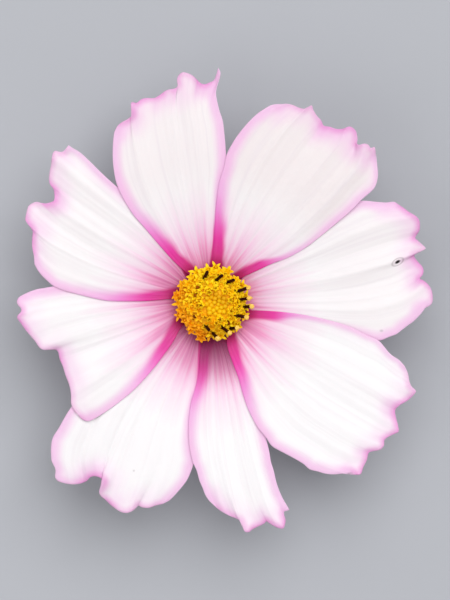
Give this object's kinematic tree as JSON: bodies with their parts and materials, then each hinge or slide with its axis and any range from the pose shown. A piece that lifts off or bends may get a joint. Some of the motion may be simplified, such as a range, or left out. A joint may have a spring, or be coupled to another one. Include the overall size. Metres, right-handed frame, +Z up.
{
  "type": "cosmos flower",
  "caption": "Open cosmos bloom, face up on its bent-down bracts: broad toothed petals overlap round a domed disc of florets over a cut stub of stem.",
  "frame": {"origin": "on the surface that the bloom lies on, under the middle of the bloom's outline", "axes": "+Z up out of the bloom's face, +Y towards petal 1, which is the picture's up, and +X the picture's right"},
  "size_m": [0.0748, 0.0836, 0.0173],
  "materials": {
    "petal": "soft matt, white with magenta side margins",
    "disc": "matt golden yellow, dusted with pollen",
    "green": "satin leaf green",
    "membrane": "thin and satin, yellowish green"
  },
  "bodies": {
    "root": {"receptacle_and_stem": "green", "disc_florets": "disc", "petal_1": "petal", "petal_2": "petal", "petal_3": "petal", "petal_4": "petal", "petal_5": "petal", "petal_6": "petal", "petal_7": "petal", "petal_8": "petal", "outer_bract_1": "green", "outer_bract_2": "green", "outer_bract_3": "green", "outer_bract_4": "green", "outer_bract_5": "green", "outer_bract_6": "green", "outer_bract_7": "green", "outer_bract_8": "green", "inner_bract_1": "membrane", "inner_bract_2": "membrane", "inner_bract_3": "membrane", "inner_bract_4": "membrane", "inner_bract_5": "membrane", "inner_bract_6": "membrane", "inner_bract_7": "membrane", "inner_bract_8": "membrane"}
  },
  "joints": []
}
